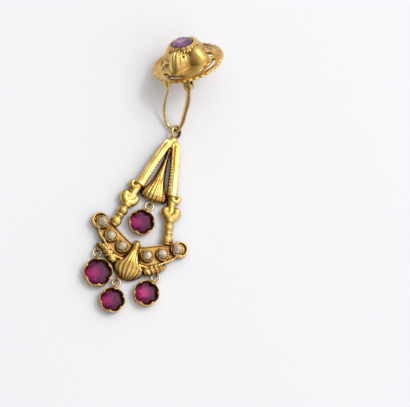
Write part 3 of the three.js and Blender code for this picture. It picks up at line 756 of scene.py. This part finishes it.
def pearl_claws(x, y, side):
    """Four grains that hold a pearl from the edge of its collet."""
    claws = []
    reach = PEARL_R + 0.06
    for k in range(4):
        a = math.pi * (0.25 + k / 2) + side * 0.3
        place = (x + reach * math.cos(a), y + reach * math.sin(a), TRAY_HEIGHT + 1.2)
        claws.append(ball(*place, CLAW_R, 1.1))
    return claws


def middle_work():
    """Eye ring with its neck, the leaf with its root, and the shield."""
    leaf = plume(LEAF_LENGTH, LEAF_WIDTH, LEAF_HEIGHT, LEAF_ROWS, 0.4, fade=0.7)
    shield = plume(SHIELD_LENGTH, SHIELD_WIDTH, SHIELD_HEIGHT, SHIELD_ROWS, 0.24, uneven=0.75)
    neck = [vec(0, eye_y(down), EYE_Z) for down in (EYE_R + 0.05, 2.1, 4.0)]
    root = [vec(0, eye_y(3.4), 0.9), vec(0, eye_y(4.6), 0.9), vec(0, eye_y(5.6), 0.8)]
    return [
        moved(torus(EYE_R, EYE_WIRE, 48, 16), at(0, EYE_Y, EYE_Z, 0, EYE_TURN, 0)),
        bar(
            neck, [(0, 0.5), (0.3, 1.0), (0.7, 1.2), (1, 0.8)], [(0, 0.4), (0.3, 0.8), (1, 0.9)],
            steps=30, sides=24,
        ),
        moved(leaf, at(0, eye_y(LEAF_TOP))),
        bar(root, [(0, 0.7), (1, 0.35)], [(0, 0.7), (1, 0.6)], steps=10, sides=16),
        moved(shield, at(0, SHIELD_TOP_Y)),
    ]


def lug(x, y, turn):
    """Ring on edge, from which a jump ring hangs, and its stalk."""
    stalk = []
    for out in (BAIL_R - 0.05, BAIL_R + 0.75):
        stalk.append(vec(x - out * math.sin(turn), y + out * math.cos(turn), LINK_Z))
    return [
        standing_ring(x, y, turn),
        bar(stalk, [(0, 0.24), (1, 0.34)], [(0, 0.3), (1, 0.5)], steps=4, sides=12),
    ]


def drop_frame():
    shells = middle_work()
    seats = []
    half_seat = 1.8
    for side in (-1, 1):
        shells += side_work(side) + wing(side)
        for place in PEARL_PLACES:
            x, y = on_wing(*place, side)
            shells.append(pearl_collet(x, y))
            shells += pearl_claws(x, y, side)
            seats.append(moved(drum(PEARL_R + 0.02, half_seat), at(x, y, TRAY_HEIGHT + half_seat)))
    for _, x, y, swing, _ in DROPS:
        shells += lug(x, y, math.radians(swing))
    obj = new_object("pendant_frame", joined(shells))
    fuse(obj, voxel=0.11)
    floor_box = skin([[(-30, -40, z), (30, -40, z), (30, 50, z), (-30, 50, z)] for z in (-9, 0)])
    cut(obj, [floor_box] + seats, "MANIFOLD")
    drop_crumbs(obj)
    finish_piece(obj, FRAME_GOLD, "drop", "drop_frame")


def cut_stone(name, radius, crown, pavilion):
    """Table, star and main facets, girdle and pointed back."""
    bm = bmesh.new()
    # Radius, height, corners and turn of each layer
    layers = [
        (radius * 0.56, crown, 8, 0), (radius * 0.8, crown * 0.58, 8, 0.5), (radius, 0.06, 16, 0),
        (radius, -0.06, 16, 0), (radius * 0.55, -pavilion * 0.56, 8, 0.5), (radius * 0.08, -pavilion, 8, 0),
    ]
    for r, h, count, turn in layers:
        for i in range(count):
            a = TAU * (i + turn) / count
            bm.verts.new((r * math.cos(a), r * math.sin(a), h))
    hull = bmesh.ops.convex_hull(bm, input=bm.verts)
    bmesh.ops.delete(bm, geom=hull["geom_interior"], context="VERTS")
    bmesh.ops.dissolve_limit(bm, angle_limit=0.01, verts=bm.verts, edges=bm.edges)
    bmesh.ops.bevel(
        bm, geom=bm.edges[:], offset=0.025, segments=1, affect="EDGES", profile=0.5, clamp_overlap=True,
    )
    mesh = bpy.data.meshes.new(name)
    bm.to_mesh(mesh)
    bm.free()
    # Painted light and shade: the facets at the lower left are painted bright, those at the upper right
    # painted dark, with a random spread
    painted_light_side = Vector((-0.75, -0.55, 0.25))
    random = np.random.default_rng(len(name) + 7)
    facet_tones_and_light = mesh.attributes.new("facet_tone_and_painted_light", "FLOAT", "FACE")
    for face in mesh.polygons:
        near = 1 - min((face.center - painted_light_side * 0.35 * radius).length / (1.25 * radius), 1)
        spread = 0.75 * near + 0.3 * face.normal.dot(painted_light_side) + random.uniform(-0.16, 0.16)
        facet_tones_and_light.data[face.index].value = min(max(spread + 0.12, 0.0), 1.0)
    return in_scene(name, mesh)


def cup(radius):
    """Scalloped cup with a beaded foot, open at the back."""
    def profile(a):
        lobe = 2 * abs(math.cos(SCALLOPS * a / 2)) ** 0.7 - 1
        out = radius - 0.08 + 0.04 * lobe
        top = CUP_HEIGHT + 0.08 - 0.14 * lobe
        inner = radius - CUP_WALL - CUP_LEDGE
        lip = out - CUP_WALL
        return [
            (inner - 0.1, 0.22), (out - 0.25, 0.0), (out - 0.04, 0.45), (out, 0.95),
            (out + 0.02, top - 0.14), (out - 0.06, top), (lip + 0.04 + 0.2 * lobe, top),
            (lip - 0.14 + 0.24 * lobe, top - 0.16), (inner, GIRDLE_Z + 0.14), (inner, GIRDLE_Z - 0.25),
        ]

    shells = [polar(profile, SCALLOPS * 24), standing_ring(0, radius + BAIL_OUT, 0)]
    saddle = [vec(0, radius - 0.3, LINK_Z), vec(0, radius + 0.06, LINK_Z)]
    shells.append(bar(saddle, [(0, 0.32), (1, 0.28)], [(0, 0.4), (1, 0.3)], steps=3, sides=12))
    return joined(shells)


def hanging_stone(name, x, y, swing, radius):
    """Jump ring, cup and garnet below a lug."""
    turn = at(x, y, 0, rz=math.radians(swing))
    ring = new_object(name + "_jump_ring", torus(RING_R, RING_WIRE, 48, 14))
    finish_piece(ring, WIRE_GOLD, "drop", name + "_ring", matrix=turn @ at(0, -RING_R, LINK_Z))
    below = 2 * RING_R + BAIL_OUT + radius
    setting = new_object(name + "_setting", cup(radius))
    fuse(setting, voxel=0.07)
    drop_crumbs(setting)
    finish_piece(setting, GOLD, "drop", name + "_bezel", matrix=turn @ at(0, -below))
    stone_r = radius - CUP_WALL - CUP_LEDGE - STONE_PLAY
    stone = cut_stone(name + "_stone", stone_r, CROWN_HEIGHT, PAVILION_HEIGHT)
    seat = turn @ at(0, -below, GIRDLE_Z)
    finish_piece(stone, GARNET, "drop", name + "_garnet", smooth=False, matrix=seat)


def pearl(number, side, spot):
    """Seed pearl, a little flatter on top."""
    profile = []
    count = 20
    for i in range(1, count):
        a = math.pi * i / count
        flat = 0.97 if a > math.pi / 2 else 1.0
        profile.append((PEARL_R * math.sin(a), -PEARL_R * math.cos(a) * flat))
    obj = new_object("seed_pearl_%d" % number, lathe(profile, 32))
    place = at(*on_wing(*spot, side), TRAY_HEIGHT + PEARL_R + PEARL_LIFT)
    finish_piece(obj, PEARL, "drop", "pearl_%d" % number, matrix=place)


# Rosette
def shell_height(out, angle):
    """Height of the dome over its rim, by share of the way out to its foot."""
    out = min(max(out, 0), 1)
    petal = math.cos(PETALS * angle)
    round_ = math.sqrt(max(1 - 0.92 * out * out, 0))
    swell = 0.5 * petal * math.sin(math.pi * min(out + 0.15, 1))
    # The fans on the near and the far petal are the deepest
    deep = 0.3 + 0.45 * abs(math.sin(angle)) ** 3
    fan = deep * max(math.cos(PETALS * (angle - FAN_TURN)) + 0.5, 0) / 1.5 * math.sin(math.pi * out) ** 0.7
    flute = fan * (abs(math.cos(14 * angle)) ** 0.6 - 0.5)
    return DOME_HEIGHT * round_ + swell + flute


def dome_foot(angle):
    return DOME_R - FOOT_DIP * (1 - math.cos(PETALS * angle)) / 2


def rosette_shell():
    """Beaded rim and hollow dome in one section, whose foot draws in between the petals."""
    def profile(a):
        bead = 0.16 * (2 * abs(math.cos(RIM_BEADS * a / 2)) ** 0.7 - 1)
        foot = dome_foot(a)
        outside = []
        for s in np.linspace(1, 0, 20):
            r = CROWN_R + s * (foot - CROWN_R)
            outside.append((r, shell_height(s, a)))
        inside = []
        for s in np.linspace(0.05, 0.9, 10):
            r = CROWN_R - 0.1 + s * (foot - SHELL_WALL - CROWN_R)
            inside.append((r, shell_height((r - CROWN_R) / (foot - CROWN_R), a) - SHELL_WALL * 1.25))
        return [
            (RIM_R + bead - 0.12, 0.1), (RIM_R + bead, 0.3), (RIM_R + bead - 0.08, 0.52),
            (RIM_R - 0.3 + bead, RIM_THICK), (RIM_R - 0.62, RIM_THICK * 0.92),
            (RIM_R - 0.8, RIM_THICK * 0.62), (RIM_IN + 0.5, RIM_THICK * 0.6),
            (RIM_IN + 0.1, RIM_THICK * 0.8), *outside, *inside, (foot - SHELL_WALL, 0.0),
            (RIM_IN + 0.4, 0.02),
        ]

    return moved(polar(profile, RIM_BEADS * 10), at(rz=PETAL_TURN))


def lens_outline():
    """Two arcs between the lens's corners, the outer one bulging towards the rim."""
    lens_r = RIM_IN - 0.02
    steps = 24
    start = lens_r * np.array([math.cos(LENS_HALF), -math.sin(LENS_HALF)])
    stop = lens_r * np.array([math.cos(LENS_HALF), math.sin(LENS_HALF)])

    def arc(pull, share):
        a, b, c = (1 - share) ** 2, 2 * share * (1 - share), share * share
        return tuple(a * start + b * np.array([lens_r + pull, 0]) + c * stop)

    outer = [arc(LENS_BULGE, k / steps) for k in range(steps + 1)]
    inner = [arc(-0.05, 1 - k / steps) for k in range(1, steps)]
    return outer + inner


def rosette_cutters():
    """Four lenses in the rim, two arches and four pairs of pin holes between the petals."""
    cutters = []
    slot = skin([[(x, y, z) for x, y in lens_outline()] for z in (-1, 2)])
    arch = moved(drum(ARCH_R, 3, 28), Matrix.Diagonal((1, ARCH_LONG, 1, 1)))
    pin_hole = drum(PIN_HOLE_R, 3, 14)
    for i in range(PETALS):
        petal_at = TAU * i / PETALS + PETAL_TURN
        between = petal_at + math.pi / PETALS
        cutters.append(moved(slot, at(rz=petal_at)))
        if i % 2 == 0:
            cutters.append(moved(arch, at(rz=between) @ at(ARCH_OUT, 0, 2)))
        for turn in (-PIN_HOLE_TURN, PIN_HOLE_TURN):
            cutters.append(moved(pin_hole, at(rz=between + turn) @ at(PIN_HOLE_OUT, 0, 2.5)))
    return cutters


def loop_point(across, up):
    """Point in the ear wire's plane, up from its hinge towards the dome."""
    return vec(across, LEG_Y + up * math.sin(LEG_SLOPE), -HINGE_DROP + up * math.cos(LEG_SLOPE))


def on_leg(across, up):
    """Place of something that stands in the ear wire's plane."""
    return at(*loop_point(across, up), rx=-LEG_SLOPE)


def rosette_matrix():
    """Rosette's own frame in the scene, on its rim and with the wire's bend in the eye."""
    turn = Matrix.Rotation(HEADING, 4, "Z") @ Matrix.Rotation(-LEAN, 4, "X") @ Matrix.Rotation(SPIN, 4, "Z")
    bend = turn @ Vector(loop_point(-LOOP_SKEW, -LOOP_LENGTH))
    lift = RIM_R * math.sin(LEAN) - RIM_SIT
    return Matrix.Translation((-bend.x, EYE_Y + BEND_OFF - bend.y, lift)) @ turn


ROSETTE = rosette_matrix()
SEAT_OVAL = Matrix.Diagonal((1, OVAL, 1, 1))


def rosette_seat():
    """Oval bezel of the top stone."""
    seat_top = DOME_HEIGHT + SEAT_HEIGHT
    bore = SEAT_R - CUP_WALL

    def profile(a):
        lobe = 0.06 * math.cos(16 * a)
        return [
            (SEAT_R - 0.75, DOME_HEIGHT - 0.7), (SEAT_R + 0.05, DOME_HEIGHT - 0.55),
            (SEAT_R + 0.14 + lobe, DOME_HEIGHT - 0.2), (SEAT_R + lobe, seat_top - 0.1),
            (SEAT_R + lobe - 0.1, seat_top), (bore + 0.06, seat_top), (bore, seat_top - 0.1),
            (bore - 0.1, DOME_HEIGHT + 0.2),
        ]

    return moved(polar(profile, 160), SEAT_OVAL)


def catch():
    """Tube from the rim's underside that takes the wire's thin end."""
    length = (HINGE_DROP + RIM_BITE) / math.cos(LEG_SLOPE) - CATCH_UP
    wall = CATCH_BORE + CATCH_WALL
    profile = [
        (CATCH_BORE, 0), (CATCH_BORE + 0.06, -0.04), (wall - 0.04, -0.04), (wall, 0.04),
        (wall, length), (CATCH_BORE, length),
    ]
    return moved(polar(lambda a: profile, 28), on_leg(-LEG_GAP / 2, CATCH_UP))


def hinge_fork():
    """Two plates on stalks from the rim, and the pin through them."""
    across = at(rx=math.pi / 2)
    half_wall = FORK_WALL / 2
    plate_at = KNUCKLE_HALF + FORK_GAP + half_wall
    plate = moved(drum(KNUCKLE_R, half_wall), across)
    w = KNUCKLE_R - 0.05
    ends = (0, HINGE_DROP + RIM_BITE)
    corners = [(-w, -half_wall), (w, -half_wall), (w, half_wall), (-w, half_wall)]
    stalk = skin([[(x, y, z) for x, y in corners] for z in ends])
    shells = []
    for side in (-1, 1):
        shells += [moved(shell, at(0, side * plate_at)) for shell in (plate, stalk)]
    half_pin = plate_at + 0.7 * FORK_WALL
    pin = lathe([
        (CORE_R, -half_pin), (PIN_R - 0.06, -half_pin), (PIN_R, -half_pin + 0.06),
        (PIN_R, half_pin - 0.06), (PIN_R - 0.06, half_pin), (CORE_R, half_pin),
    ], 24)
    shells.append(moved(pin, across))
    return [moved(shell, on_leg(LEG_GAP / 2, 0)) for shell in shells]


def lens_lips():
    """A rolled lip over each lens."""
    wide = [(0, 0.12), (0.5, 0.34), (1, 0.12)]
    high = [(0, 0.12), (0.5, 0.28), (1, 0.12)]
    lips = []
    for i in range(PETALS):
        route = []
        for share in np.linspace(-1, 1, 9):
            turn = LIP_HALF * share
            r = dome_foot(turn) + 0.33
            a = TAU * i / PETALS + PETAL_TURN + turn
            route.append(vec(r * math.cos(a), r * math.sin(a), 0.95 - 0.45 * share**2))
        lips.append(bar(route, wide, high, 40, 12))
    return lips


def seat_grains():
    """A row of grains round the top stone's seat."""
    grains = []
    count = 28
    reach = SEAT_R + 0.2
    for k in range(count):
        a = TAU * k / count
        spot = (reach * math.cos(a), reach * OVAL * math.sin(a), DOME_HEIGHT - 0.05)
        grains.append(ball(*spot, GRAIN_R, 1, 8))
    return grains


def rosette():
    obj = new_object("rosette_body", rosette_shell())
    cut(obj, rosette_cutters())
    add_shells(obj, [rosette_seat(), catch(), *hinge_fork(), *lens_lips(), *seat_grains()])
    fuse(obj, voxel=0.095)
    drop_crumbs(obj)
    finish_piece(obj, GOLD, "rosette", "rosette", matrix=ROSETTE)
    stone = cut_stone("rosette_top_stone", SEAT_R - CUP_WALL - TOP_PLAY, TOP_CROWN, TOP_PAVILION)
    matrix = ROSETTE @ at(0, 0, DOME_HEIGHT + TOP_GIRDLE) @ SEAT_OVAL
    finish_piece(stone, PALE_GARNET, "rosette", "rosette_stone", smooth=False, matrix=matrix)


def ear_wire():
    """One wire from the catch, round its bend and up to the knuckle on the hinge's pin."""
    half, bend = LEG_GAP / 2, -LOOP_SKEW
    route = [
        (-half, CATCH_UP + 0.85), (-half, -0.5), (-half - 1.1, -0.3 * LOOP_LENGTH),
        (-half - 1.85, -0.6 * LOOP_LENGTH), (bend - 1.95, -0.86 * LOOP_LENGTH), (bend, -LOOP_LENGTH),
        (bend + 1.4, -0.87 * LOOP_LENGTH), (half - 1.9, -0.6 * LOOP_LENGTH),
        (half - 0.65, -0.3 * LOOP_LENGTH), (half, -0.35),
    ]
    wire = bar(
        [loop_point(*p) for p in route],
        [(0, 0.22), (0.01, 0.3), (0.5, 0.36), (0.7, 0.5), (0.9, 0.62), (1, 0.5)],
        [(0, 0.22), (0.01, 0.3), (0.5, 0.34), (0.8, 0.36), (1, 0.33)],
        steps=220, sides=20, up=(0, -math.cos(LEG_SLOPE), math.sin(LEG_SLOPE)),
    )
    hinge = on_leg(half, 0) @ at(rx=math.pi / 2)
    knuckle = moved(drum(KNUCKLE_R - 0.05, KNUCKLE_HALF), hinge)
    obj = new_object("hinged_ear_wire", joined([wire, knuckle]))
    fuse(obj, voxel=0.07, soften=3)
    cut(obj, [moved(drum(PIN_R + PIN_GAP, 2, 28), hinge)], "MANIFOLD")
    drop_crumbs(obj)
    finish_piece(obj, WIRE_GOLD, "drop", "ear_wire", matrix=ROSETTE)


# Camera, floor and light. Directions of the photo's right, up and towards the camera.
CAMERA_RIGHT = Vector((0.933, 0.310, 0.183))
CAMERA_BACK = Vector((-0.088, -0.296, 0.951))
PIXELS_PER_MM = 4.7
EYE_PIXEL = (176.0, 132.0)
PHOTO_SIZE = (410, 407)
CAMERA_DISTANCE = 0.6


def camera():
    """Camera of the photo; gives back its right and up."""
    back = CAMERA_BACK.normalized()
    right = (CAMERA_RIGHT - back * CAMERA_RIGHT.dot(back)).normalized()
    up = back.cross(right)
    across = (PHOTO_SIZE[0] / 2 - EYE_PIXEL[0]) / PIXELS_PER_MM * MM
    rise = (EYE_PIXEL[1] - PHOTO_SIZE[1] / 2) / PIXELS_PER_MM * MM
    eye = Vector((0, EYE_Y, EYE_Z)) * MM
    place = eye + right * across + up * rise + back * CAMERA_DISTANCE
    data = bpy.data.cameras.new("camera")
    data.sensor_width = 36
    data.lens = 36 * CAMERA_DISTANCE / (PHOTO_SIZE[0] / PIXELS_PER_MM * MM)
    data.clip_start = 0.01
    data.clip_end = 10
    obj = in_scene("camera", data)
    obj.matrix_world = Matrix.Translation(place) @ Matrix((right, up, back)).transposed().to_4x4()
    bpy.context.scene.camera = obj
    return right, up


def pale_floor():
    bm = bmesh.new()
    bmesh.ops.create_grid(bm, x_segments=2, y_segments=2, size=1.5)
    mesh = bpy.data.meshes.new("floor")
    bm.to_mesh(mesh)
    bm.free()
    floor = in_scene("floor", mesh)
    floor.location.z = -0.00012
    material, _, _, bsdf = shader("pale_floor")
    bsdf.inputs["Base Color"].default_value = (0.86, 0.865, 0.88, 1)
    bsdf.inputs["Roughness"].default_value = 0.6
    bsdf.inputs["Specular IOR Level"].default_value = 0.2
    mesh.materials.append(material)


def studio(right, up):
    """Surroundings that are bright towards the photo's right and dark towards its left."""
    world = bpy.data.worlds.new("studio")
    bpy.context.scene.world = world
    world.use_nodes = True
    nodes, links = world.node_tree.nodes, world.node_tree.links
    place = nodes.new("ShaderNodeTexCoord")
    split = nodes.new("ShaderNodeVectorMath")
    split.operation = "DOT_PRODUCT"
    split.inputs[1].default_value = (right * 0.8 + up * 0.25 + Vector((0, 0, 0.55))).normalized()
    links.new(place.outputs["Generated"], split.inputs[0])
    dark, middle, bright = (0.06, 0.045, 0.035), (0.36, 0.34, 0.33), (1.55, 1.55, 1.58)
    tone = ramp(nodes, [(0.12, dark), (0.45, middle), (0.85, bright)])
    spread = nodes.new("ShaderNodeMapRange")
    spread.inputs["From Min"].default_value = -1.0
    links.new(split.outputs["Value"], spread.inputs["Value"])
    links.new(spread.outputs["Result"], tone.inputs["Fac"])
    links.new(tone.outputs["Color"], nodes["Background"].inputs["Color"])
    nodes["Background"].inputs["Strength"].default_value = 0.68


def lamp(data, direction):
    """Hang a lamp in this direction from the pendant's middle and point it there."""
    obj = in_scene(data.name, data)
    obj.location = Vector((0, EYE_Y / 2, 0)) * MM + direction.normalized() * 0.75
    obj.rotation_euler = direction.to_track_quat("Z", "Y").to_euler()


def lamps(right, up):
    """A soft window to the right, whose light falls off across the floor, and a small hard glint."""
    window = bpy.data.lights.new("window", "AREA")
    window.size = 0.4
    window.energy = 1.55
    lamp(window, right * 0.75 + up * 0.42 + Vector((0, 0, 1.0)))
    glint = bpy.data.lights.new("glint", "SUN")
    glint.energy = 0.28
    glint.angle = math.radians(7)
    lamp(glint, right * 0.55 + up * 0.35 + Vector((0, 0, 1.0)))


photo_right, photo_up = camera()
pale_floor()
studio(photo_right, photo_up)
lamps(photo_right, photo_up)
bpy.context.scene.view_settings.view_transform = "Standard"
drop_frame()
for row in DROPS:
    hanging_stone(*row)
pearl_number = 0
for pearl_side in (-1, 1):
    for pearl_spot in PEARL_PLACES:
        pearl_number += 1
        pearl(pearl_number, pearl_side, pearl_spot)
rosette()
ear_wire()
